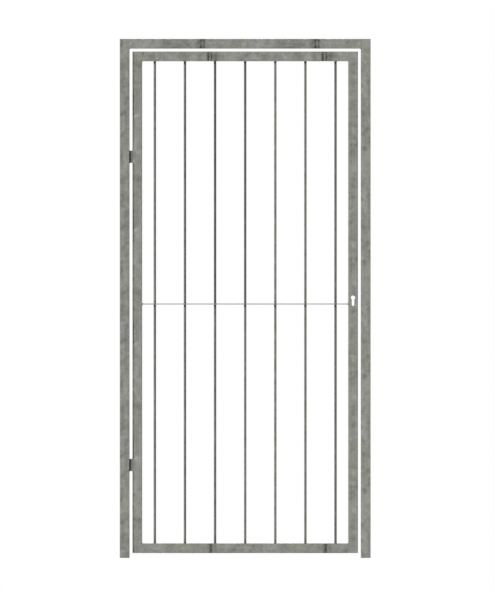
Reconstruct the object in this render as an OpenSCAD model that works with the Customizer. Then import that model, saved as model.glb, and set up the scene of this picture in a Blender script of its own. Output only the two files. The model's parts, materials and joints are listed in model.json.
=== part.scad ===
// Barred pedestrian gate: a box-section steel frame of two posts and a head rail,
// with one barred leaf hung on two lift-off hinges in the left-hand gap.
// Millimetres. The origin is the centre of the hinge post's foot, at floor level.
// +X runs along the gate towards the latch post, +Z is up, -Y is the front, and the leaf
// opens towards +Y, the side that the hinge barrels are on.

/* [Frame] */
// Clear width between the two posts
opening_w = 950; // [800:1:1100]
// Overall height of the frame, from the floor to the top of the head rail
frame_h = 2132; // [1950:1:2300]
// Width and depth of the box section, the same for frame and leaf
tube_w = 40; // [40:1:50]
// Wall thickness of the box section
tube_t = 2; // [1.5:0.5:3]
// Outside corner radius of the box section
tube_r = 3; // [2.5:0.5:4]

/* [Leaf] */
// Gap between the leaf and the frame, at both sides and at the top
leaf_gap = 12; // [12:1:16]
// Clearance under the leaf
floor_gap = 20; // [10:1:40]
// Diameter of the round infill bars
bar_d = 10; // [8:1:14]
// Distance from a stile's inner face to the centre of the nearest bar
bar_edge = 52; // [40:1:70]
// Height above the floor of the middle of the flat cross bar
cross_z = 1043; // [900:1:1200]
// Depth of the flat cross bar, front to back
cross_depth = 30; // [24:1:36]
// Thickness of the flat cross bar
cross_t = 4; // [3:1:8]

/* [Hinges] */
// Height of one complete hinge
hinge_h = 50; // [50:1:80]
// Outside diameter of the hinge barrel
barrel_d = 14; // [14:0.5:16]
// Diameter of the hinge pin
pin_d = 8; // [6:0.5:8]
// Distance of the hinge axis behind the tubes' back faces
axis_proud = 9; // [9:0.5:12]
// Distance from the bottom of the leaf to the middle of the lower hinge
lower_hinge_up = 362; // [200:1:500]
// Distance from the top of the leaf to the middle of the upper hinge
upper_hinge_down = 432; // [200:1:500]
// Thickness of the wing on the post's half of a hinge
wing_t = 3; // [2.5:0.5:4]
// Clearance between the leaf's hinge wing and the post
wing_gap = 5; // [5:0.5:6]

/* [Lock] */
// Height above the floor of the centre of the keyhole's round head
keyhole_z = 1069; // [980:1:1120]
// Diameter of the keyhole's round head
keyhole_d = 17.2; // [17:0.1:18]
// Width of the keyhole's slot
keyhole_slot_w = 10.5; // [10:0.1:11]
// Distance from the centre of the round head to the bottom of the slot
keyhole_drop = 33.5; // [24:0.5:36]
// Length of the lock's face plate
forend_l = 200; // [180:1:240]
// Width of the lock's face plate
forend_w = 22; // [18:1:24]

/* [Fixings] */
// Diameter of the wall-fixing holes through both walls of each post
fixing_d = 11; // [9:1:13]
// Height of the middle of the row of wall-fixing holes
fixing_mid_z = 1010; // [1000:1:1020]
// Distance between the outer two wall-fixing holes
fixing_outer = 1620; // [1500:1:1700]
// Distance between the inner two wall-fixing holes
fixing_inner = 540; // [480:1:560]

/* [Hidden] */
$fn = 64;
eps = 0.02;
half = tube_w / 2;
cap_t = 2;
bar_count = 7;

// Frame
latch_x = opening_w + tube_w;          // middle of the latch post
post_len = frame_h - cap_t;

// Leaf
leaf_x0 = half + leaf_gap;             // hinge-side face of the leaf
leaf_x1 = half + opening_w - leaf_gap; // lock-side face of the leaf
leaf_z0 = floor_gap;
leaf_z1 = frame_h - tube_w - leaf_gap;
stile_a = leaf_x0 + half;              // middle of the hinge stile
stile_b = leaf_x1 - half;              // middle of the lock stile
inner_x0 = leaf_x0 + tube_w;
inner_x1 = leaf_x1 - tube_w;
inner_z0 = leaf_z0 + tube_w;
inner_z1 = leaf_z1 - tube_w;
bar_pitch = (inner_x1 - inner_x0 - 2 * bar_edge) / (bar_count - 1);

// Hinges
axis_x = half + leaf_gap / 2;
axis_y = half + axis_proud;
post_wing_y = 2;                       // front edge of the post's wing
leaf_wing_y = -half + 2;               // front edge of the leaf's wing
leaf_wing_t = leaf_gap - wing_gap;
washer_t = 1.5;
knuckle_h = (hinge_h - washer_t - 0.2) / 2;
lower_hinge_z = leaf_z0 + lower_hinge_up - hinge_h / 2;
upper_hinge_z = leaf_z1 - upper_hinge_down - hinge_h / 2;
run_clear = 0.08;                      // radial clearance of the pin in the leaf's knuckle

// Lock
forend_t = 3;
lock_mid_z = keyhole_z + 20;
bolt_z = keyhole_z + 35;               // middle of the lock bolt
bolt_h = 28;
bolt_t = 12;
case_x0 = stile_b - 14;
case_t = 16;
case_h = 150;
strike_w = 16;
strike_h = 36;

galv = "#8d8e87";
galv_dark = "#7c7d78";
hinge_grey = "#63645f";

// A square of side w with corners of radius r, centred.
module rounded_square(w, r) {
    square([w, w - 2 * r], center = true);
    square([w - 2 * r, w], center = true);
    for (sx = [-1, 1], sy = [-1, 1])
        translate([sx * (w / 2 - r), sy * (w / 2 - r)]) circle(r = r, $fn = 32);
}

// The box section's profile.
module tube_profile() {
    difference() {
        rounded_square(tube_w, tube_r);
        rounded_square(tube_w - 2 * tube_t, max(tube_r - tube_t, 0.5));
    }
}

// An upright length of box section, standing at z = 0.
module upright_tube(len) {
    linear_extrude(height = len) tube_profile();
}

// A length of box section lying along +X from x = 0.
module level_tube(len) {
    rotate([90, 0, 90]) linear_extrude(height = len) tube_profile();
}

// A plate that closes the end of a box section.
module end_cap() {
    linear_extrude(height = cap_t) rounded_square(tube_w, tube_r);
}

// The four wall-fixing holes, through both walls of a post along X.
module fixing_holes() {
    for (dz = [-fixing_outer / 2, -fixing_inner / 2, fixing_inner / 2, fixing_outer / 2])
        translate([-half - 1, 0, fixing_mid_z + dz])
            rotate([0, 90, 0]) cylinder(d = fixing_d, h = tube_w + 2);
}

module hinge_post() {
    color(galv) difference() {
        upright_tube(post_len);
        fixing_holes();
    }
}

// The latch post has a slot in its inner wall for the lock bolt.
module latch_post() {
    color(galv) translate([latch_x, 0, 0]) difference() {
        upright_tube(post_len);
        fixing_holes();
        translate([-half - 1, -strike_w / 2, bolt_z - strike_h / 2])
            cube([tube_t + 2, strike_w, strike_h]);
    }
}

module head_rail() {
    color(galv) translate([half, 0, frame_h - half]) level_tube(opening_w);
}

module hinge_post_cap() {
    color(galv) translate([0, 0, post_len]) end_cap();
}

module latch_post_cap() {
    color(galv) translate([latch_x, 0, post_len]) end_cap();
}

// The hinge half on the post: a knuckle behind the gap, with a wing welded to the post's
// side face. It stands on the given height and takes the lower half of the hinge.
module post_half(z0) {
    color(hinge_grey) difference() {
        union() {
            translate([axis_x, axis_y, z0]) cylinder(d = barrel_d, h = knuckle_h);
            translate([half, post_wing_y, z0])
                cube([wing_t, axis_y - post_wing_y, knuckle_h]);
        }
        translate([axis_x, axis_y, z0 - 1]) cylinder(d = pin_d, h = knuckle_h + 2);
    }
}

// The hinge half on the leaf: a knuckle, closed at the top, with a thick wing welded to the
// stile's edge. In front of the post's wing, the leaf's wing has the hinge's full height.
module leaf_half(z0) {
    z1 = z0 + hinge_h - knuckle_h;
    color(hinge_grey) difference() {
        union() {
            translate([axis_x, axis_y, z1]) cylinder(d = barrel_d, h = knuckle_h);
            translate([leaf_x0 - leaf_wing_t, leaf_wing_y, z1])
                cube([leaf_wing_t, axis_y - leaf_wing_y, knuckle_h]);
            translate([leaf_x0 - leaf_wing_t, leaf_wing_y, z0])
                cube([leaf_wing_t, post_wing_y - wing_gap - leaf_wing_y, hinge_h]);
        }
        translate([axis_x, axis_y, z1 - 1])
            cylinder(r = pin_d / 2 + run_clear, h = knuckle_h - 3);
    }
}

// The pin stands in the post's knuckle and reaches up into the leaf's.
module hinge_pin(z0) {
    color("#9a9a96") translate([axis_x, axis_y, z0])
        cylinder(d = pin_d, h = hinge_h - 6);
}

// The brass washer that the leaf's knuckle turns on.
module hinge_washer(z0) {
    color("#b08d4a") translate([axis_x, axis_y, z0 + knuckle_h]) difference() {
        cylinder(d = barrel_d - 0.6, h = washer_t);
        translate([0, 0, -1]) cylinder(r = pin_d / 2 + run_clear, h = washer_t + 2);
    }
}

module hinge_stile() {
    color(galv) translate([stile_a, 0, leaf_z0 + cap_t])
        upright_tube(leaf_z1 - leaf_z0 - 2 * cap_t);
}

// The keyhole's outline as a cutter along Y: a round head over a slot with a round end.
module keyhole_cutter(depth) {
    slot_r = keyhole_slot_w / 2;
    translate([stile_b, depth / 2, keyhole_z]) rotate([90, 0, 0]) {
        cylinder(d = keyhole_d, h = depth);
        translate([0, -(keyhole_drop - slot_r), 0]) cylinder(r = slot_r, h = depth);
    }
    translate([stile_b - slot_r, -depth / 2, keyhole_z - keyhole_drop + slot_r])
        cube([keyhole_slot_w, depth, keyhole_drop - slot_r]);
}

// The lock stile has a keyhole through both faces and a slot in its edge for the face plate.
module lock_stile() {
    color(galv) difference() {
        translate([stile_b, 0, leaf_z0 + cap_t]) upright_tube(leaf_z1 - leaf_z0 - 2 * cap_t);
        keyhole_cutter(tube_w + 4);
        translate([leaf_x1 - tube_t - 1, -forend_w / 2, lock_mid_z - forend_l / 2])
            cube([tube_t + 3, forend_w, forend_l]);
    }
}

module leaf_top_rail() {
    color(galv) translate([inner_x0, 0, leaf_z1 - half]) level_tube(inner_x1 - inner_x0);
}

module leaf_bottom_rail() {
    color(galv) translate([inner_x0, 0, leaf_z0 + half]) level_tube(inner_x1 - inner_x0);
}

// The flat bar across the leaf at mid height, punched for the round bars.
module cross_bar() {
    color(galv) difference() {
        translate([inner_x0, -cross_depth / 2, cross_z - cross_t / 2])
            cube([inner_x1 - inner_x0, cross_depth, cross_t]);
        for (i = [0 : bar_count - 1])
            translate([inner_x0 + bar_edge + i * bar_pitch, 0, cross_z - cross_t])
                cylinder(d = bar_d + 0.4, h = 2 * cross_t);
    }
}

// One round bar from the bottom rail to the top rail; i counts from the hinge side.
module infill_bar(i) {
    color(galv_dark) translate([inner_x0 + bar_edge + (i - 1) * bar_pitch, 0, inner_z0])
        cylinder(d = bar_d, h = inner_z1 - inner_z0);
}

module stile_cap(x, z) {
    color(galv) translate([x, 0, z]) end_cap();
}

// The lock's case inside the stile, with the cylinder hole and the bolt's pocket.
module lock_case() {
    color("#a5a5a0") difference() {
        translate([case_x0, -case_t / 2, lock_mid_z - case_h / 2])
            cube([leaf_x1 - forend_t - case_x0, case_t, case_h]);
        keyhole_cutter(case_t + 4);
        translate([case_x0 + 4, -bolt_t / 2 - 0.2, bolt_z - bolt_h / 2 - 0.2])
            cube([leaf_x1 - case_x0, bolt_t + 0.4, bolt_h + 0.4]);
    }
}

// The face plate, flush with the stile's edge, with the bolt's window.
module lock_forend() {
    color("#a5a5a0") difference() {
        translate([leaf_x1 - forend_t, -forend_w / 2, lock_mid_z - forend_l / 2])
            cube([forend_t, forend_w, forend_l]);
        translate([leaf_x1 - forend_t - 1, -bolt_t / 2 - 0.2, bolt_z - bolt_h / 2 - 0.2])
            cube([forend_t + 2, bolt_t + 0.4, bolt_h + 0.4]);
    }
}

// The lock bolt, drawn back flush with the face plate.
module deadbolt() {
    color("#b4b4b0") translate([case_x0 + 5, -bolt_t / 2, bolt_z - bolt_h / 2])
        cube([leaf_x1 - case_x0 - 5, bolt_t, bolt_h]);
}

hinge_post();
latch_post();
head_rail();
hinge_post_cap();
latch_post_cap();
post_half(upper_hinge_z);  // upper_hinge_post_half
hinge_pin(upper_hinge_z);  // upper_hinge_pin
hinge_washer(upper_hinge_z);  // upper_hinge_washer
post_half(lower_hinge_z);  // lower_hinge_post_half
hinge_pin(lower_hinge_z);  // lower_hinge_pin
hinge_washer(lower_hinge_z);  // lower_hinge_washer
hinge_stile();
lock_stile();
leaf_top_rail();
leaf_bottom_rail();
cross_bar();
infill_bar(1);  // infill_bar_1
infill_bar(2);  // infill_bar_2
infill_bar(3);  // infill_bar_3
infill_bar(4);  // infill_bar_4
infill_bar(5);  // infill_bar_5
infill_bar(6);  // infill_bar_6
infill_bar(7);  // infill_bar_7
stile_cap(stile_a, leaf_z1 - cap_t);  // hinge_stile_top_cap
stile_cap(stile_a, leaf_z0);  // hinge_stile_bottom_cap
stile_cap(stile_b, leaf_z1 - cap_t);  // lock_stile_top_cap
stile_cap(stile_b, leaf_z0);  // lock_stile_bottom_cap
leaf_half(upper_hinge_z);  // upper_hinge_leaf_half
leaf_half(lower_hinge_z);  // lower_hinge_leaf_half
lock_case();
lock_forend();
deadbolt();
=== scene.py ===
import json
import math
import random

import bpy
import bmesh
from mathutils import Vector, Matrix, noise


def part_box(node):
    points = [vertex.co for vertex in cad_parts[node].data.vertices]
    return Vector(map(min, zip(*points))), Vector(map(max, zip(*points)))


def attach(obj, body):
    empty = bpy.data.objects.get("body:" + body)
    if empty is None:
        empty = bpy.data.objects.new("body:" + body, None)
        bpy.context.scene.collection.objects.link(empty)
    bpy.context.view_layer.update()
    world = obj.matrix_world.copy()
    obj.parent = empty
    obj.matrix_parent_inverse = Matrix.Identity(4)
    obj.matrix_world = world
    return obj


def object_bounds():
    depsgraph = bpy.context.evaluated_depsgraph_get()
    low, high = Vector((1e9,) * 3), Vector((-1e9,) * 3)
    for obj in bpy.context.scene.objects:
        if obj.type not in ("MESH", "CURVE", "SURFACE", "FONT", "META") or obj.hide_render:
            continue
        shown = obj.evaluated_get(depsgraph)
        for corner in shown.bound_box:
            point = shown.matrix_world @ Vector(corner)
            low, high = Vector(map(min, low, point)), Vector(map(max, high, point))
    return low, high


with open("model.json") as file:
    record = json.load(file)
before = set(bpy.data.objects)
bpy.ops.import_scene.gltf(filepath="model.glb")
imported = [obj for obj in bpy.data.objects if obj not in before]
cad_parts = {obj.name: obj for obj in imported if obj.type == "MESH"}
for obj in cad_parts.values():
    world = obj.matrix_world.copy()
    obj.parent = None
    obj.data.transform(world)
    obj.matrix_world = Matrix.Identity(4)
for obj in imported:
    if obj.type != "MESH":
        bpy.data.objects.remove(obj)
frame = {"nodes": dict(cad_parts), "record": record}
CAD_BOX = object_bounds()
NODES = frame["nodes"]
RECORD = frame["record"]
SCENE = bpy.context.scene
SCENE.view_settings.view_transform = "Standard"
SCENE.view_settings.look = "None"

# ---------------------------------------------------------------- places, all from the frame
lo, hi = CAD_BOX
post_a, post_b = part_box("hinge_post"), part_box("latch_post")
stile_a, stile_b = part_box("hinge_stile"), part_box("lock_stile")
head, rail_t, rail_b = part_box("head_rail"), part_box("leaf_top_rail"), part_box("leaf_bottom_rail")
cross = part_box("cross_bar")
bars = [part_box("infill_bar_%d" % i) for i in range(1, 8)]
bar_x = [(b[0].x + b[1].x) / 2 for b in bars]
bar_r = (bars[0][1].x - bars[0][0].x) / 2
mid_x = (lo.x + hi.x) / 2
front = post_a[0].y            # the tubes' front faces
back = post_a[1].y             # the tubes' back faces
TUBE_R = 0.003                 # outside corner radius of the box section


# ---------------------------------------------------------------- node trees
class Tree:
    """A material's node tree, with short names for the nodes that are used most."""

    def __init__(self, name):
        self.mat = bpy.data.materials.new(name)
        self.mat.use_nodes = True
        self.t = self.mat.node_tree
        self.t.nodes.clear()
        self.out = self.t.nodes.new("ShaderNodeOutputMaterial")
        self.bsdf = self.t.nodes.new("ShaderNodeBsdfPrincipled")
        self.t.links.new(self.bsdf.outputs[0], self.out.inputs["Surface"])
        self.co = self.t.nodes.new("ShaderNodeTexCoord").outputs["Object"]
        sep = self.t.nodes.new("ShaderNodeSeparateXYZ")
        self.t.links.new(self.co, sep.inputs[0])
        self.x, self.y, self.z = sep.outputs

    def put(self, socket, value):
        if isinstance(value, bpy.types.NodeSocket):
            self.t.links.new(value, socket)
        else:
            socket.default_value = value

    def math(self, op, a, b=0.0, c=0.0, clamp=False):
        n = self.t.nodes.new("ShaderNodeMath")
        n.operation = op
        n.use_clamp = clamp
        self.put(n.inputs[0], a)
        self.put(n.inputs[1], b)
        self.put(n.inputs[2], c)
        return n.outputs[0]

    def mapping(self, loc=(0, 0, 0), scale=(1, 1, 1), rot=(0, 0, 0)):
        n = self.t.nodes.new("ShaderNodeMapping")
        self.t.links.new(self.co, n.inputs["Vector"])
        n.inputs["Location"].default_value = loc
        n.inputs["Rotation"].default_value = rot
        n.inputs["Scale"].default_value = scale
        return n.outputs[0]

    def vec(self, x, y, z):
        n = self.t.nodes.new("ShaderNodeCombineXYZ")
        for i, q in enumerate((x, y, z)):
            self.put(n.inputs[i], q)
        return n.outputs[0]

    def shift(self, vec, by):
        n = self.t.nodes.new("ShaderNodeVectorMath")
        n.operation = "ADD"
        self.t.links.new(vec, n.inputs[0])
        n.inputs[1].default_value = by
        return n.outputs[0]

    def noise(self, vec, scale, detail=2.0, rough=0.5, dist=0.0):
        n = self.t.nodes.new("ShaderNodeTexNoise")
        self.t.links.new(vec, n.inputs["Vector"])
        n.inputs["Scale"].default_value = scale
        n.inputs["Detail"].default_value = detail
        n.inputs["Roughness"].default_value = rough
        n.inputs["Distortion"].default_value = dist
        return n.outputs[0]

    def voronoi(self, vec, scale, out="Color", feature="F1"):
        n = self.t.nodes.new("ShaderNodeTexVoronoi")
        n.feature = feature
        self.t.links.new(vec, n.inputs["Vector"])
        n.inputs["Scale"].default_value = scale
        if out == "Color":
            s = self.t.nodes.new("ShaderNodeSeparateColor")
            self.t.links.new(n.outputs["Color"], s.inputs[0])
            return s.outputs[0]
        return n.outputs[out]

    def remap(self, v, a, b, c=0.0, d=1.0, smooth=True):
        n = self.t.nodes.new("ShaderNodeMapRange")
        n.interpolation_type = "SMOOTHSTEP" if smooth else "LINEAR"
        self.put(n.inputs[0], v)
        for i, q in enumerate((a, b, c, d)):
            self.put(n.inputs[i + 1], q)
        return n.outputs[0]

    def ramp(self, v, stops, mode="EASE"):
        n = self.t.nodes.new("ShaderNodeValToRGB")
        r = n.color_ramp
        r.interpolation = mode
        while len(r.elements) > 1:
            r.elements.remove(r.elements[-1])
        first = True
        for pos, val in stops:
            col = (val, val, val, 1) if isinstance(val, (int, float)) else (*val, 1)
            if first:
                e, first = r.elements[0], False
                e.position = pos
            else:
                e = r.elements.new(pos)
            e.color = col
        self.put(n.inputs[0], v)
        return n.outputs[0]

    def mix(self, f, a, b, mode="MIX"):
        n = self.t.nodes.new("ShaderNodeMix")
        n.data_type = "RGBA"
        n.blend_type = mode
        self.put(n.inputs[0], f)
        self.put(n.inputs[6], (*a, 1) if isinstance(a, tuple) else a)
        self.put(n.inputs[7], (*b, 1) if isinstance(b, tuple) else b)
        return n.outputs[2]

    def grey(self, v):
        n = self.t.nodes.new("ShaderNodeCombineColor")
        for i in range(3):
            self.put(n.inputs[i], v)
        return n.outputs[0]

    def bump(self, height, strength, distance=0.001, normal=None):
        n = self.t.nodes.new("ShaderNodeBump")
        self.put(n.inputs["Height"], height)
        n.inputs["Strength"].default_value = strength
        n.inputs["Distance"].default_value = distance
        if normal is not None:
            self.t.links.new(normal, n.inputs["Normal"])
        return n.outputs[0]


def bell(T, v, centre, width):
    """A soft bump of height 1 at v = centre."""
    d = T.math("DIVIDE", T.math("SUBTRACT", v, centre), width)
    return T.math("EXPONENT", T.math("MULTIPLY", T.math("MULTIPLY", d, d), -1.0))


PERIOD = 0.4678    # the zinc's pattern comes round again at this length along a member
GALV = dict(metallic=0.30, rough=0.52)


def galvanised(name, axis="Z", seed=0, tone=1.0, ref=0.0, mid=0.0, blobs=(), marks=(), contrast=1.0, olive=0.0, slant=0.0, period=PERIOD, rough=None,
               dark_line=None, edges=None, shades=(), under=(), below=None, mark_tint=None):
    """Mottled hot-dip galvanised steel. axis is the member's own direction, ref a level on it and mid its middle line.
    The mottling comes round again after one period. blobs are soft patches that come round with it: (distance past ref,
    distance off mid, half length, half width, amount, hue).
    shades are single soft patches at (x, z, half width, half height, amount), and marks are dark lines across the
    member, of colour mark_tint. run is a dark line along it, and edges are the member's two long edges, made slightly
    darker. under holds painted shadows that hang down from a height: (z, depth, amount). below is a height and what the
    tone is multiplied by under it."""
    T = Tree(name)
    along = T.math("SUBTRACT", ref, T.z) if axis == "Z" else T.math("SUBTRACT", T.x, ref)
    across = T.x if axis == "Z" else T.z
    loc = (seed * 1.37 + 0.31, seed * 2.11 + 0.77, seed * 0.73 + 0.13)
    radius = period / (2 * math.pi)
    turn = T.math("DIVIDE", along, radius)
    wide = T.math("ADD", across, T.math("MULTIPLY", T.y, 1.2))
    base = T.vec(T.math("ADD", T.math("MULTIPLY", T.math("COSINE", turn), radius), loc[0]),
                 T.math("ADD", T.math("MULTIPLY", T.math("SINE", turn), radius), loc[1]), T.math("ADD", wide, loc[2]))
    blotch = T.noise(base, 36, 3.0, 0.55, 0.5)
    broad = T.noise(base, 9, 2.0, 0.5, 0.3)
    hue = T.noise(T.shift(base, (3.1, 1.7, 5.3)), 17, 2.5, 0.55, 0.5)
    fine = T.noise(base, 190, 2.0, 0.6, 0.0)
    lines = T.vec(T.math("MULTIPLY", T.math("COSINE", turn), radius * 3), T.math("MULTIPLY", T.math("SINE", turn), radius * 3), T.math("MULTIPLY", wide, 190.0))
    streak = T.noise(lines, 1.0, 2.0, 0.6, 0.0)
    patch = T.remap(T.noise(T.shift(base, (7.7, 2.2, 0.4)), 6, 1.0, 0.5, 0.0), 0.40, 0.60, 0.35, 1.0)
    cell = T.voronoi(T.mapping(loc), 105)
    # the value is 1 on average
    v = T.math("MULTIPLY", T.math("SUBTRACT", blotch, 0.5), 1.25 * contrast)
    v = T.math("ADD", v, T.math("MULTIPLY", T.math("SUBTRACT", broad, 0.5), 0.45 * contrast))
    v = T.math("ADD", v, T.math("MULTIPLY", T.math("SUBTRACT", fine, 0.5), 0.50))
    v = T.math("ADD", v, T.math("MULTIPLY", T.math("MULTIPLY", T.math("SUBTRACT", streak, 0.5), 0.85), patch))
    v = T.math("ADD", v, T.math("MULTIPLY", T.math("SUBTRACT", cell, 0.5), 0.15))
    tint = None
    if blobs:
        wa = T.math("MULTIPLY", T.math("SUBTRACT", T.noise(T.shift(base, (0.9, 4.4, 2.6)), 42, 2.0, 0.6, 0.0), 0.5), 0.034)
        wb = T.math("MULTIPLY", T.math("SUBTRACT", T.noise(T.shift(base, (5.2, 0.3, 8.1)), 42, 2.0, 0.6, 0.0), 0.5), 0.034)
        off = T.math("SUBTRACT", T.math("ADD", across, wb), mid)
        pos = T.math("ADD", T.math("ADD", along, wa), T.math("MULTIPLY", off, slant))
        for a, b, ra, rb, amp, hu in blobs:
            d = T.math("SUBTRACT", T.math("FRACT", T.math("ADD", T.math("DIVIDE", T.math("SUBTRACT", pos, a), period), 0.5)), 0.5)
            q = T.math("MULTIPLY", bell(T, d, 0.0, ra / period), bell(T, off, b, rb))
            v = T.math("ADD", v, T.math("MULTIPLY", q, amp))
            if hu:
                q = T.math("MULTIPLY", q, hu)
                tint = q if tint is None else T.math("ADD", tint, q)
    dark = None
    for x0, w, depth in marks:
        line = bell(T, T.math("ADD", T.x if axis == "X" else T.z, T.math("MULTIPLY", T.math("SUBTRACT", T.noise(base, 60, 1.0, 0.5, 0.0), 0.5), 0.004)), x0, w)
        line = T.math("MULTIPLY", line, T.remap(T.noise(base, 70, 1.0, 0.5, 0.0), 0.3, 0.7, 0.75, 1.1))
        line = T.math("MULTIPLY", line, T.math("ADD", 1.0, T.math("MULTIPLY", bell(T, across, mid - 0.014, 0.011), 0.42)))
        v = T.math("SUBTRACT", v, T.math("MULTIPLY", line, depth))
        dark = T.math("MULTIPLY", line, depth * 1.6) if dark is None else T.math("ADD", dark, T.math("MULTIPLY", line, depth * 1.6))
    for sx, sz, rx, rz, amp in shades:
        v = T.math("ADD", v, T.math("MULTIPLY", T.math("MULTIPLY", bell(T, T.x, sx, rx), bell(T, T.z, sz, rz)), amp))
    if dark_line:
        x0, w, depth, gaps = dark_line
        line = T.math("MULTIPLY", bell(T, across, x0, w), T.remap(T.noise(T.shift(base, (1, 1, 1)), 12, 2.0, 0.6, 0.0), 0.3, 0.7, 0.7, 1.15))
        for g0, g1 in gaps:
            cut = T.math("MULTIPLY", T.remap(T.z, g0 - 0.004, g0 + 0.002), T.remap(T.z, g1 - 0.002, g1 + 0.004, 1.0, 0.0))
            line = T.math("MULTIPLY", line, T.math("SUBTRACT", 1.0, cut))
        v = T.math("SUBTRACT", v, T.math("MULTIPLY", line, depth))
    if edges:
        e = T.math("ADD", bell(T, across, edges[0], 0.003), bell(T, across, edges[1], 0.003))
        v = T.math("SUBTRACT", v, T.math("MULTIPLY", e, 0.10))
    # painted shadow: darker just below each height in under, as below a rail
    for z0, reach, amp in under:
        v = T.math("ADD", v, T.math("MULTIPLY", T.math("MULTIPLY", bell(T, T.z, z0, reach), T.math("LESS_THAN", T.z, z0 + 0.0001)), amp))
    v = T.math("MAXIMUM", T.math("ADD", v, 1.0), 0.12)
    if below:
        v = T.math("MULTIPLY", v, T.remap(T.z, below[0] - 0.001, below[0] + 0.001, below[1], 1.0))
    h = T.math("SUBTRACT", T.math("ADD", hue, olive * 0.1), T.math("MULTIPLY", T.math("SUBTRACT", blotch, 0.5), 0.5))
    if tint is not None:
        h = T.math("ADD", h, T.math("MULTIPLY", tint, 0.16))
    h = T.remap(h, 0.33, 0.67)
    col = T.mix(h, (0.2530 * tone, 0.2540 * tone, 0.2395 * tone), (0.2515 * tone, 0.2565 * tone, 0.2200 * tone))
    col = T.mix(1.0, col, T.grey(v), "MULTIPLY")
    if mark_tint:
        col = T.mix(T.math("MINIMUM", dark, 1.0), col, T.mix(1.0, col, mark_tint, "MULTIPLY"))
    T.put(T.bsdf.inputs["Base Color"], col)
    T.bsdf.inputs["Metallic"].default_value = GALV["metallic"]
    r = rough or GALV["rough"]
    T.put(T.bsdf.inputs["Roughness"], T.math("ADD", T.math("MULTIPLY", T.math("SUBTRACT", blotch, 0.5), -0.25), T.math("ADD", T.math("MULTIPLY", cell, 0.08), r - 0.04)))
    h = T.math("ADD", T.math("MULTIPLY", fine, 0.35), T.math("MULTIPLY", blotch, 1.0))
    T.put(T.bsdf.inputs["Normal"], T.bump(h, 0.22, 0.0006))
    return T.mat


def plain_metal(name, tone, metallic, rough, seed=0, axis="Z", depth=0.12, turned=False):
    """A machined or plated piece: fine lines, small stains and soft bump."""
    T = Tree(name)
    loc = (seed * 1.3, seed * 0.7, seed * 2.1)
    base = T.mapping(loc)
    stain = T.noise(base, 60, 3.0, 0.6, 0.4)
    line = T.noise(T.mapping(loc, (3, 3, 900) if turned else (900, 900, 6) if axis == "Z" else (6, 900, 900)), 1.0, 2.0, 0.5, 0.0)
    v = T.math("ADD", T.math("MULTIPLY", T.math("SUBTRACT", stain, 0.5), depth * 3), T.math("MULTIPLY", T.math("SUBTRACT", line, 0.5), depth))
    v = T.math("ADD", v, 1.0)
    col = T.mix(1.0, T.grey(v), tone, "MULTIPLY")
    T.put(T.bsdf.inputs["Base Color"], col)
    T.bsdf.inputs["Metallic"].default_value = metallic
    T.put(T.bsdf.inputs["Roughness"], T.math("ADD", T.math("MULTIPLY", stain, 0.2), rough - 0.1))
    T.put(T.bsdf.inputs["Normal"], T.bump(T.math("ADD", line, stain), 0.12, 0.0004))
    return T.mat


def paint(node, mat):
    o = NODES[node]
    if not o.material_slots:
        o.data.materials.append(mat)
    for s in o.material_slots:
        s.material = mat


# ---------------------------------------------------------------- finishes of the CAD pieces
def z_of(row):
    """Height in the object of a level given in steps of 1/519.25 of the gate's height, from the top."""
    return hi.z - row / 519.25 * (hi.z - lo.z)


def middle(b, axis):
    return (getattr(b[0], axis) + getattr(b[1], axis)) / 2


P = PERIOD
R_PERIOD = 0.4707
hinges = [(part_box(k + "_hinge_leaf_half")[0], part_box(k + "_hinge_leaf_half")[1]) for k in ("upper", "lower")]
near_hinge = [(stile_a[0].x, (a.z + b.z) / 2, 0.009, 0.026, -0.24) for a, b in hinges]

# soft patches: (along, off the middle, half length, half width, amount, hue), with hue + for olive and - for blue grey
on_post_a = [(0.158 * P, -0.004, 0.010, 0.022, -0.20, 0.0), (0.205 * P, -0.010, 0.010, 0.012, 0.20, -1.0), (0.235 * P, 0.008, 0.012, 0.008, 0.14, 0.0),
             (0.268 * P, 0.004, 0.009, 0.007, -0.22, 0.4), (0.300 * P, -0.008, 0.008, 0.012, 0.17, -0.6), (0.318 * P, 0.014, 0.006, 0.006, -0.18, 0.0),
             (0.351 * P, -0.010, 0.007, 0.010, -0.22, -0.6), (0.44 * P, 0.004, 0.030, 0.012, -0.05, 0.3), (0.600 * P, 0.006, 0.036, 0.014, 0.17, 1.0),
             (0.535 * P, -0.014, 0.016, 0.007, -0.14, -1.0), (0.660 * P, -0.010, 0.013, 0.012, 0.12, -0.4), (0.745 * P, -0.012, 0.018, 0.012, -0.20, -0.4),
             (0.830 * P, 0.006, 0.008, 0.009, 0.20, 0.3), (0.910 * P, -0.012, 0.024, 0.010, -0.18, -0.5), (0.955 * P, 0.012, 0.012, 0.008, 0.12, 0.8),
             (0.040 * P, 0.010, 0.013, 0.012, -0.15, 0.4), (0.995 * P, 0.0, 0.006, 0.020, 0.24, 0.0)]
on_stile_a = [(0.10 * P, 0.004, 0.060, 0.016, -0.05, 0.8), (0.180 * P, 0.008, 0.016, 0.006, 0.15, 1.0), (0.300 * P, 0.0, 0.040, 0.020, -0.05, 0.7),
              (0.436 * P, -0.0045, 0.008, 0.009, 0.60, -0.3), (0.56 * P, 0.004, 0.050, 0.016, 0.07, -1.2), (0.485 * P, 0.006, 0.010, 0.008, 0.14, -0.6),
              (0.700 * P, -0.010, 0.022, 0.008, 0.17, -0.8), (0.760 * P, 0.002, 0.010, 0.010, 0.20, -0.3), (0.660 * P, 0.010, 0.026, 0.006, -0.12, -1.0),
              (0.840 * P, -0.012, 0.012, 0.007, 0.16, 0.6), (0.925 * P, 0.008, 0.016, 0.007, 0.20, 1.2), (0.975 * P, -0.002, 0.014, 0.012, -0.12, 0.8)]
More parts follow.
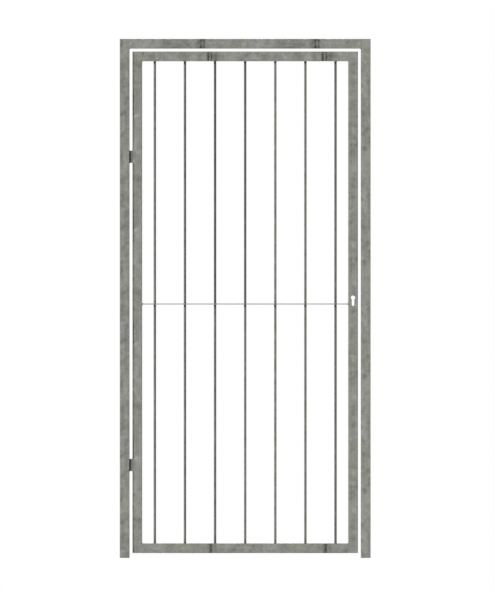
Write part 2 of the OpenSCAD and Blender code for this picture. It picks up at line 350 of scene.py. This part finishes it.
on_stile_b = [(0.055 * P, -0.004, 0.028, 0.014, -0.14, 0.9), (0.093 * P, -0.002, 0.007, 0.008, -0.16, 0.4), (0.128 * P, 0.006, 0.007, 0.014, 0.20, 0.2),
              (0.187 * P, -0.002, 0.008, 0.009, -0.20, 0.0), (0.240 * P, 0.012, 0.020, 0.008, 0.06, -1.0), (0.315 * P, -0.010, 0.009, 0.010, 0.24, -0.2),
              (0.450 * P, 0.006, 0.030, 0.008, 0.06, 0.8), (0.552 * P, 0.0, 0.007, 0.022, -0.17, -0.5), (0.585 * P, 0.0, 0.006, 0.022, 0.12, 0.0),
              (0.622 * P, 0.004, 0.009, 0.010, 0.24, 0.2), (0.658 * P, 0.0, 0.006, 0.018, -0.12, 0.0), (0.692 * P, -0.010, 0.010, 0.009, 0.14, 0.0),
              (0.730 * P, 0.012, 0.010, 0.009, -0.30, 0.2), (0.722 * P, -0.004, 0.008, 0.014, -0.16, 0.0), (0.800 * P, -0.008, 0.020, 0.012, -0.16, -0.4),
              (0.932 * P, 0.004, 0.010, 0.012, 0.24, 0.6)]
on_post_b = [(0.02 * P, 0.006, 0.030, 0.012, 0.08, 0.5), (0.060 * P, -0.014, 0.012, 0.008, -0.26, 0.0), (0.158 * P, 0.010, 0.010, 0.008, -0.18, -1.4),
             (0.185 * P, -0.010, 0.032, 0.006, 0.20, 0.8), (0.187 * P, -0.018, 0.007, 0.005, -0.16, 0.0), (0.280 * P, 0.008, 0.040, 0.012, 0.08, -1.2),
             (0.430 * P, 0.0, 0.040, 0.018, -0.06, 0.2), (0.530 * P, 0.004, 0.010, 0.014, 0.12, 0.6), (0.570 * P, 0.010, 0.011, 0.008, -0.30, 1.2),
             (0.655 * P, 0.010, 0.014, 0.008, -0.26, 1.2), (0.620 * P, -0.006, 0.020, 0.010, -0.06, 0.8), (0.745 * P, -0.010, 0.009, 0.010, -0.30, 0.3),
             (0.785 * P, 0.008, 0.018, 0.010, 0.18, 0.2), (0.840 * P, -0.004, 0.014, 0.010, 0.08, 0.0), (0.927 * P, -0.010, 0.008, 0.009, -0.20, 0.0)]
on_head = [(-0.133, 0.0, 0.024, 0.03, -0.17, 1.2), (-0.078, 0.0, 0.030, 0.03, -0.13, 0.3), (-0.215, 0.004, 0.046, 0.03, 0.15, -1.2), (0.060, 0.0, 0.040, 0.03, 0.12, -0.5),
           (0.142, 0.0, 0.015, 0.03, -0.13, 0.8), (0.175, -0.003, 0.011, 0.016, 0.18, 1.4), (-0.113, 0.006, 0.006, 0.016, 0.14, 1.0), (0.105, 0.004, 0.012, 0.02, 0.10, 0.5)]
on_top = [(-0.240, 0.003, 0.021, 0.014, -0.20, 0.6), (-0.053, 0.0, 0.024, 0.02, 0.12, 0.8), (0.084, 0.003, 0.036, 0.02, 0.14, 0.9), (0.156, 0.004, 0.018, 0.018, -0.14, 0.2),
          (-0.095, 0.0, 0.008, 0.02, -0.16, 0.4), (-0.150, -0.002, 0.030, 0.014, 0.10, 0.6), (0.190, 0.0, 0.010, 0.02, 0.12, -0.3), (-0.270, 0.0, 0.010, 0.02, 0.14, 0.8)]
on_bottom = [(-0.226, 0.0, 0.028, 0.02, 0.13, -1.3), (-0.163, 0.007, 0.019, 0.010, -0.16, 1.3), (-0.226, -0.014, 0.007, 0.006, -0.24, -1.0), (-0.120, -0.004, 0.012, 0.012, 0.14, 0.2),
             (-0.050, 0.0, 0.018, 0.02, -0.10, 0.5), (0.032, 0.0, 0.009, 0.02, 0.14, 0.4), (0.090, 0.0, 0.022, 0.016, -0.07, 0.0), (0.180, 0.006, 0.012, 0.010, -0.10, 1.0)]

m_post_a = galvanised("galv_hinge_post", "Z", 1, 0.985, z_of(56.0), middle(post_a, "x"), on_post_a, contrast=0.62, slant=0.30, olive=0.3, edges=(post_a[0].x, post_a[1].x))
m_post_b = galvanised("galv_latch_post", "Z", 2, 1.00, z_of(25.0), middle(post_b, "x"), on_post_b, contrast=0.62, edges=(post_b[0].x, post_b[1].x))
# The hinge stile has a dark line along its left edge beside the gap to the post, broken where the hinges are, and
# darker patches beside the hinges.
m_stile_a = galvanised("galv_hinge_stile", "Z", 3, 1.015, z_of(27.0), middle(stile_a, "x"), on_stile_a, contrast=0.55, shades=near_hinge,
                       dark_line=(stile_a[0].x + 0.0034, 0.0032, 0.70, [(a.z, b.z) for a, b in hinges]))
m_stile_b = galvanised("galv_lock_stile", "Z", 4, 1.00, z_of(23.0), middle(stile_b, "x"), on_stile_b, contrast=0.45, edges=(stile_b[0].x, stile_b[1].x))
m_head = galvanised("galv_head_rail", "X", 5, 1.015, 0.3128, middle(head, "z"), on_head, period=R_PERIOD, contrast=0.75, olive=-0.2, edges=(head[0].z, head[1].z),
                    marks=[(0.3132, 0.0048, 0.60), (0.3020, 0.012, 0.26), (0.3258, 0.0052, 0.66), (0.7837, 0.0048, 0.62), (0.7725, 0.012, 0.26), (0.7968, 0.0052, 0.64)])
m_top = galvanised("galv_leaf_top_rail", "X", 6, 1.03, 0.3435, middle(rail_t, "z"), on_top, period=R_PERIOD, contrast=0.95, olive=0.5, edges=(rail_t[0].z, rail_t[1].z),
                   mark_tint=(1.0, 1.02, 0.86),
                   marks=[(0.3435, 0.0046, 0.62), (0.3565, 0.0042, 0.54), (0.3738, 0.0062, 0.20),
                          (0.8140, 0.0046, 0.62), (0.8277, 0.0042, 0.54), (0.8448, 0.0062, 0.20)])
m_bottom = galvanised("galv_leaf_bottom_rail", "X", 7, 1.0, 0.3545, middle(rail_b, "z"), on_bottom, period=R_PERIOD, contrast=0.70, olive=0.2, edges=(rail_b[0].z, rail_b[1].z),
                      mark_tint=(1.0, 1.01, 0.89),
                      marks=[(0.3545, 0.0052, 0.74), (0.3455, 0.006, 0.24), (0.3728, 0.0062, 0.28), (0.8258, 0.0052, 0.76), (0.8165, 0.006, 0.24), (0.8440, 0.0062, 0.28)])
m_bars = []
# Each bar's zinc is darkened just under the top rail and just under the flat bar: painted shadow of these. It is also
# softly darkened near the bottom rail and just above the flat bar: painted shade.
for i, (above_bar, below_bar) in enumerate([(1.07, 1.00), (0.885, 0.945), (0.69, 0.97), (0.745, 1.14), (1.36, 1.29), (1.18, 1.115), (0.80, 0.77)]):
    b0, b1 = bars[i]
    m_bars.append(galvanised("galv_round_bar_%d" % (i + 1), "Z", 8 + 0.37 * i, 0.64 * above_bar, contrast=0.85, rough=0.48,
                             under=[(b1.z, 0.0062, -0.82), (cross[0].z, 0.012, -0.66)],
                             shades=[(bar_x[i], b0.z, 0.05, 0.022, -0.20), (bar_x[i], cross[1].z + 0.006, 0.05, 0.012, -0.08)],
                             below=((cross[0].z + cross[1].z) / 2, below_bar / above_bar)))
m_flat = galvanised("galv_flat_bar", "X", 9, 1.12, contrast=0.5)
m_cap = galvanised("galv_cap", "X", 10, 1.0)
m_weld = galvanised("galv_weld", "Z", 11, 0.94, contrast=0.9, rough=0.46)
# The welds at the bars' ends are made darker than the other welds: painted shade of the top rail's and flat bar's
# shadows over the bar ends.
m_bar_weld_painted_shade = galvanised("galv_bar_weld_painted_shade", "Z", 15, 0.55, contrast=0.9, rough=0.48)
# The hinge's leaf half and its welds on the stile are made darker than the tubes: painted shade of the narrow slit
# between post and leaf in which they sit.
m_hinge = galvanised("galv_hinge", "Z", 12, 0.62, contrast=0.6, rough=0.45)
m_hinge_post = galvanised("galv_hinge_post_half", "Z", 14, 0.95, contrast=0.6, rough=0.45)
m_hinge_weld = galvanised("galv_hinge_weld", "Z", 13, 0.62, contrast=0.9, rough=0.48)
m_pin = plain_metal("steel_pin", (0.55, 0.55, 0.54), 0.9, 0.3, 1, turned=True)
m_brass = plain_metal("brass_washer", (0.36, 0.29, 0.17), 0.75, 0.42, 2, turned=True)
m_lock = plain_metal("zinc_lock", (0.50, 0.50, 0.48), 0.75, 0.38, 3)
m_bolt = plain_metal("steel_bolt", (0.58, 0.58, 0.57), 0.9, 0.32, 4, axis="X")

paint("hinge_post", m_post_a)
paint("latch_post", m_post_b)
paint("hinge_stile", m_stile_a)
paint("lock_stile", m_stile_b)
paint("head_rail", m_head)
paint("leaf_top_rail", m_top)
paint("leaf_bottom_rail", m_bottom)
paint("cross_bar", m_flat)
for i in range(1, 8):
    paint("infill_bar_%d" % i, m_bars[i - 1])
for n in ("hinge_post_cap", "latch_post_cap", "hinge_stile_top_cap", "hinge_stile_bottom_cap", "lock_stile_top_cap", "lock_stile_bottom_cap"):
    paint(n, m_cap)
for side in ("upper", "lower"):
    paint(side + "_hinge_post_half", m_hinge_post)
    paint(side + "_hinge_leaf_half", m_hinge)
    paint(side + "_hinge_pin", m_pin)
    paint(side + "_hinge_washer", m_brass)
paint("lock_case", m_lock)
paint("lock_forend", m_lock)
paint("deadbolt", m_bolt)


# ---------------------------------------------------------------- mesh helpers
def piece(name, bm, mat, body, smooth=True):
    me = bpy.data.meshes.new(name)
    bmesh.ops.recalc_face_normals(bm, faces=bm.faces)
    bm.to_mesh(me)
    bm.free()
    if smooth:
        for p in me.polygons:
            p.use_smooth = True
    me.materials.append(mat)
    o = bpy.data.objects.new(name, me)
    SCENE.collection.objects.link(o)
    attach(o, body)
    return o


def frame_at(direction, up=Vector((0, 0, 1))):
    d = direction.normalized()
    if abs(d.dot(up)) > 0.95:
        up = Vector((0, 1, 0))
    s = d.cross(up).normalized()
    return s, s.cross(d).normalized()


def bead(bm, a, b, r, seed, up=Vector((0, 0, 1)), squash=1.0, ripple=0.0028, sides=10, bow=0.0):
    """A weld bead from a to b: a rippled rod, half sunk in the corner it fills, with rounded ends."""
    a, b = Vector(a), Vector(b)
    d = b - a
    length = d.length
    s, u = frame_at(d, up)
    rnd = random.Random(seed)
    steps = max(5, int(length / (ripple / 4)))
    rings = []
    for i in range(steps + 1):
        t = i / steps
        p = a + d * t
        w = noise.noise(Vector((seed * 3.1, t * length * 240, 0.5)))
        wave = 0.5 + 0.5 * math.cos(2 * math.pi * (t * length / ripple) + w * 1.5)
        rr = r * (0.90 + 0.10 * wave + 0.10 * w)
        end = min(t, 1 - t) * length / (r * 1.1)
        if end < 1:
            rr *= math.sqrt(max(0.02, 1 - (1 - end) ** 2))
        off = s * (noise.noise(Vector((seed * 1.7, 4.0, t * length * 90))) * r * 0.15)
        ring = []
        for k in range(sides):
            an = 2 * math.pi * k / sides
            ring.append(bm.verts.new(p + off + (s * math.cos(an) + u * math.sin(an) * squash) * rr))
        rings.append(ring)
    for i in range(steps):
        for k in range(sides):
            j = (k + 1) % sides
            bm.faces.new((rings[i][k], rings[i][j], rings[i + 1][j], rings[i + 1][k]))
    bm.faces.new(rings[0])
    bm.faces.new(rings[-1])


def collar(bm, centre, up, r0, leg, height, seed, steps=40):
    """The fillet weld round a bar's end: a rippled skirt from the bar down to the surface it stands on."""
    c, up = Vector(centre), Vector(up).normalized()
    s, t = frame_at(up)
    prof = [(-0.0006, height), (0.0004, height * 0.96), (leg * 0.34, height * 0.62), (leg * 0.70, height * 0.32), (leg, 0.0), (leg * 0.9, -0.0003), (-0.0006, -0.0003)]
    rings = []
    for k in range(steps):
        an = 2 * math.pi * k / steps
        w = noise.noise(Vector((seed * 2.3, math.cos(an) * 2.5, math.sin(an) * 2.5)))
        wave = 0.07 * math.cos(an * 9 + seed)
        g = 1 + 0.28 * w + wave
        d = s * math.cos(an) + t * math.sin(an)
        rings.append([bm.verts.new(c + d * (r0 + pr * (g if pr > 0 else 1)) + up * (ph * (g if ph > 0 else 1))) for pr, ph in prof])
    n = len(prof)
    for k in range(steps):
        a, b = rings[k], rings[(k + 1) % steps]
        for i in range(n):
            j = (i + 1) % n
            bm.faces.new((a[i], b[i], b[j], a[j]))


def groove_fill(bm, x, side, y_face, z0, z1, seed, inward):
    """A weld ground flush where a rail butts against a post's rounded edge. side is +1 where the rail lies to the right of x,
    y_face is the tubes' front or back face and inward points from it into the metal."""
    steps = 28
    rings = []
    for i in range(steps + 1):
        t = i / steps
        z = z0 + (z1 - z0) * t
        w = noise.noise(Vector((seed * 1.9, z * 320, 0.3)))
        end = min(t, 1 - t) * (z1 - z0)
        e = min(1.0, end / TUBE_R)
        drop = TUBE_R * (1 - math.sqrt(max(0.0, 1 - (1 - e) ** 2)))
        face = y_face + inward * (0.00004 + drop + 0.00010 * abs(w))
        a = 0.0006 * w
        pts = [(x - side * (0.0031 + a), y_face + inward * (0.00002 + drop)), (x - side * 0.0012, face), (x + side * (0.0009 + a * 0.6), y_face + inward * (0.00002 + drop)),
               (x + side * 0.0004, y_face + inward * 0.0034), (x - side * 0.0004, y_face + inward * 0.0034)]
        rings.append([bm.verts.new((px, py, z)) for px, py in pts])
    n = 5
    for i in range(steps):
        for k in range(n):
            j = (k + 1) % n
            bm.faces.new((rings[i][k], rings[i][j], rings[i + 1][j], rings[i + 1][k]))
    bm.faces.new(rings[0])
    bm.faces.new(rings[-1])


def nodule(bm, p, r, length, seed):
    """A small zinc drip that hangs from p."""
    rnd = random.Random(seed)
    c = Vector(p)
    rows, cols = 7, 10
    rings = []
    for i in range(rows):
        t = i / (rows - 1)
        rr = r * (1 - 0.55 * t) * (1.0 if t < 0.9 else 0.55)
        z = r * 0.4 - (length + r * 0.4) * t
        rings.append([bm.verts.new(c + Vector((math.cos(2 * math.pi * k / cols) * rr * (1 + 0.1 * math.sin(k * 2 + seed)), math.sin(2 * math.pi * k / cols) * rr, z))) for k in range(cols)])
    for i in range(rows - 1):
        for k in range(cols):
            j = (k + 1) % cols
            bm.faces.new((rings[i][k], rings[i][j], rings[i + 1][j], rings[i + 1][k]))
    bm.faces.new(rings[0])
    bm.faces.new(rings[-1])


# ---------------------------------------------------------------- welds of the frame
def rail_joint(bm, x, side, z0, z1, seed, y0=front, y1=back):
    """The flush fills at one end of a rail, in front and behind."""
    groove_fill(bm, x, side, y0, z0, z1, seed, 1)
    groove_fill(bm, x, side, y1, z0, z1, seed + 1, -1)


bm = bmesh.new()
rail_joint(bm, head[0].x, 1, head[0].z + 0.0002, head[1].z - 0.0004, 11)
rail_joint(bm, head[1].x, -1, head[0].z + 0.0002, head[1].z - 0.0004, 13)
leg = 0.0015
for k, (x, side) in enumerate(((head[0].x, 1), (head[1].x, -1))):
    bead(bm, (x + side * 0.0006, front + 0.0042, head[0].z - 0.0006), (x + side * 0.0006, back - 0.0042, head[0].z - 0.0006), leg, 21 + k)
piece("frame_joint_welds", bm, m_weld, "frame")

# ---------------------------------------------------------------- welds of the leaf
bm = bmesh.new()
for k, (rail, inner) in enumerate(((rail_t, -1), (rail_b, 1))):
    for j, (x, side) in enumerate(((rail[0].x, 1), (rail[1].x, -1))):
        rail_joint(bm, x, side, rail[0].z + 0.0002, rail[1].z - 0.0002, 31 + 4 * k + 2 * j)
        z = rail[0].z if inner < 0 else rail[1].z
        bead(bm, (x + side * 0.0006, front + 0.0042, z + inner * 0.0006), (x + side * 0.0006, back - 0.0042, z + inner * 0.0006), leg, 51 + 4 * k + j)
piece("leaf_joint_welds", bm, m_weld, "leaf")

bm = bmesh.new()
for k, x in enumerate(bar_x):
    collar(bm, (x, 0, bars[k][1].z), (0, 0, -1), bar_r, 0.0016, 0.0022, 71 + k)
    collar(bm, (x, 0, bars[k][0].z), (0, 0, 1), bar_r, 0.0016, 0.0022, 81 + k)
    collar(bm, (x, 0, cross[1].z), (0, 0, 1), bar_r, 0.0011, 0.0014, 91 + k, 32)
    collar(bm, (x, 0, cross[0].z), (0, 0, -1), bar_r, 0.0011, 0.0014, 101 + k, 32)
piece("bar_welds", bm, m_bar_weld_painted_shade, "leaf")

bm = bmesh.new()
for k, (x, side) in enumerate(((cross[0].x, 1), (cross[1].x, -1))):
    for j, (z, up) in enumerate(((cross[1].z, 1), (cross[0].z, -1))):
        bead(bm, (x + side * 0.0005, cross[0].y + 0.002, z + up * 0.0004), (x + side * 0.0005, cross[1].y - 0.002, z + up * 0.0004), 0.0020, 111 + 2 * k + j)
piece("cross_bar_welds", bm, m_weld, "leaf")

# ---------------------------------------------------------------- welds of the hinges
bm_f, bm_l = bmesh.new(), bmesh.new()
for k, side in enumerate(("upper", "lower")):
    ph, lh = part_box(side + "_hinge_post_half"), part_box(side + "_hinge_leaf_half")
    # the post's wing: along its front edge and its top and bottom, on the post's side face
    px = post_a[1].x
    bead(bm_f, (px + 0.0004, ph[0].y - 0.0004, ph[0].z + 0.001), (px + 0.0004, ph[0].y - 0.0004, ph[1].z - 0.001), 0.0022, 131 + k)
    for j, z in enumerate((ph[0].z, ph[1].z)):
        bead(bm_f, (px + 0.0004, ph[0].y, z), (px + 0.0004, back - 0.004, z), 0.0018, 135 + 2 * k + j)
    # the leaf's wing: on the stile's edge
    lx = stile_a[0].x
    bead(bm_l, (lx - 0.0002, lh[0].y + 0.0002, lh[0].z + 0.001), (lx - 0.0002, lh[0].y + 0.0002, lh[1].z - 0.001), 0.0020, 141 + k)
    for j, z in enumerate((lh[0].z, lh[1].z)):
        bead(bm_l, (lx - 0.0004, lh[0].y + 0.001, z), (lx - 0.0004, -0.004 if j == 0 else back - 0.004, z), 0.0018, 145 + 2 * k + j)
piece("post_hinge_welds", bm_f, m_weld, "frame")
piece("leaf_hinge_welds", bm_l, m_hinge_weld, "leaf")

# ---------------------------------------------------------------- face plate screws
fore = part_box("lock_forend")
bm = bmesh.new()
for k, z in enumerate((fore[0].z + 0.010, fore[1].z - 0.010)):
    c = Vector((fore[1].x, (fore[0].y + fore[1].y) / 2, z))
    n = 36
    rings = []
    turn = 0.35 + k * 0.9
    for r, h in ((0.0046, -0.0002), (0.0044, 0.00012), (0.0030, 0.00022), (0.0021, 0.00024)):
        rings.append([bm.verts.new(c + Vector((h - 0.0001, math.cos(2 * math.pi * i / n) * r, math.sin(2 * math.pi * i / n) * r))) for i in range(n)])
    for a, b in zip(rings, rings[1:]):
        for i in range(n):
            bm.faces.new((a[i], a[(i + 1) % n], b[(i + 1) % n], b[i]))
    # a cross-shaped recess: the inner ring drops to a star
    star = []
    for i in range(n):
        an = 2 * math.pi * i / n
        arm = abs(math.cos(2 * (an - turn)))
        r = 0.0006 + 0.0013 * arm ** 6
        star.append(bm.verts.new(c + Vector((0.00010, math.cos(an) * r, math.sin(an) * r))))
    low = [bm.verts.new(v.co + Vector((-0.0012, 0, 0))) for v in star]
    for i in range(n):
        j = (i + 1) % n
        bm.faces.new((rings[-1][i], rings[-1][j], star[j], star[i]))
        bm.faces.new((star[i], star[j], low[j], low[i]))
    bm.faces.new(low)
    bm.faces.new(rings[0])
piece("forend_screws", bm, m_bolt, "leaf", smooth=False)

# ---------------------------------------------------------------- zinc drips under the leaf's bottom and top rails
bm = bmesh.new()
rnd = random.Random(5)
for k in range(9):
    x = rail_b[0].x + 0.03 + (rail_b[1].x - rail_b[0].x - 0.06) * ((k + rnd.random() * 0.8) / 9)
    y = (front + 0.006) if k % 3 else (back - 0.008)
    nodule(bm, (x, y, rail_b[0].z + 0.0004), 0.0010 + 0.0006 * rnd.random(), 0.0010 + 0.0014 * rnd.random(), k)
for k in range(5):
    x = rail_t[0].x + 0.05 + (rail_t[1].x - rail_t[0].x - 0.1) * ((k + rnd.random() * 0.8) / 5)
    nodule(bm, (x, back - 0.007, rail_t[0].z + 0.0004), 0.0010, 0.0010 + 0.0008 * rnd.random(), 20 + k)
piece("leaf_zinc_drips", bm, m_weld, "leaf")

# ---------------------------------------------------------------- floor, light and camera
floor_mat = Tree("floor_pale")
fl = floor_mat.noise(floor_mat.mapping(), 3.0, 3.0, 0.5, 0.0)
floor_mat.put(floor_mat.bsdf.inputs["Base Color"], floor_mat.mix(fl, (0.70, 0.70, 0.70), (0.76, 0.76, 0.755)))
floor_mat.bsdf.inputs["Roughness"].default_value = 0.85
me = bpy.data.meshes.new("floor")
s = 14.0
me.from_pydata([(mid_x - s, -s, 0), (mid_x + s, -s, 0), (mid_x + s, s, 0), (mid_x - s, s, 0)], [], [(0, 1, 2, 3)])
me.materials.append(floor_mat.mat)
floor = bpy.data.objects.new("floor", me)
SCENE.collection.objects.link(floor)
floor.location.z = -0.0005


def sun(name, azimuth, elevation, strength, angle, colour=(1, 1, 1)):
    """Light that comes from azimuth degrees to the right of the front, at that elevation."""
    l = bpy.data.lights.new(name, "SUN")
    l.energy, l.angle, l.color = strength, math.radians(angle), colour
    o = bpy.data.objects.new(name, l)
    a, e = math.radians(azimuth), math.radians(elevation)
    src = Vector((math.sin(a) * math.cos(e), -math.cos(a) * math.cos(e), math.sin(e)))
    o.rotation_mode = "QUATERNION"
    o.rotation_quaternion = (-src).to_track_quat("-Z", "Y")
    o.location = src * 5
    SCENE.collection.objects.link(o)
    return o


sun("key", -47, 30, 3.45, 7, (1.0, 0.995, 0.985))
sun("back_fill", 180, 40, 1.6, 20)

world = bpy.data.worlds.new("studio")
SCENE.world = world
world.use_nodes = True
wt = world.node_tree
wt.nodes.clear()
wo = wt.nodes.new("ShaderNodeOutputWorld")
mixs = wt.nodes.new("ShaderNodeMixShader")
lp = wt.nodes.new("ShaderNodeLightPath")
amb = wt.nodes.new("ShaderNodeBackground")
amb.inputs[0].default_value = (0.97, 0.985, 1.0, 1)
amb.inputs[1].default_value = 0.18
seen = wt.nodes.new("ShaderNodeBackground")
seen.inputs[0].default_value = (1, 1, 1, 1)
seen.inputs[1].default_value = 1.0
wt.links.new(lp.outputs["Is Camera Ray"], mixs.inputs[0])
wt.links.new(amb.outputs[0], mixs.inputs[1])
wt.links.new(seen.outputs[0], mixs.inputs[2])
wt.links.new(mixs.outputs[0], wo.inputs["Surface"])

MM = 0.0041073                       # metres for one pixel of the 494 x 593 frame
cam_data = bpy.data.cameras.new("camera")
cam_data.type = "ORTHO"
cam_data.ortho_scale = 593 * MM
cam_data.clip_end = 50
cam = bpy.data.objects.new("camera", cam_data)
cam.location = (mid_x + 1.83 * MM, -6, 261.45 * MM)
cam.rotation_euler = (math.radians(90), 0, 0)
SCENE.collection.objects.link(cam)
SCENE.camera = cam
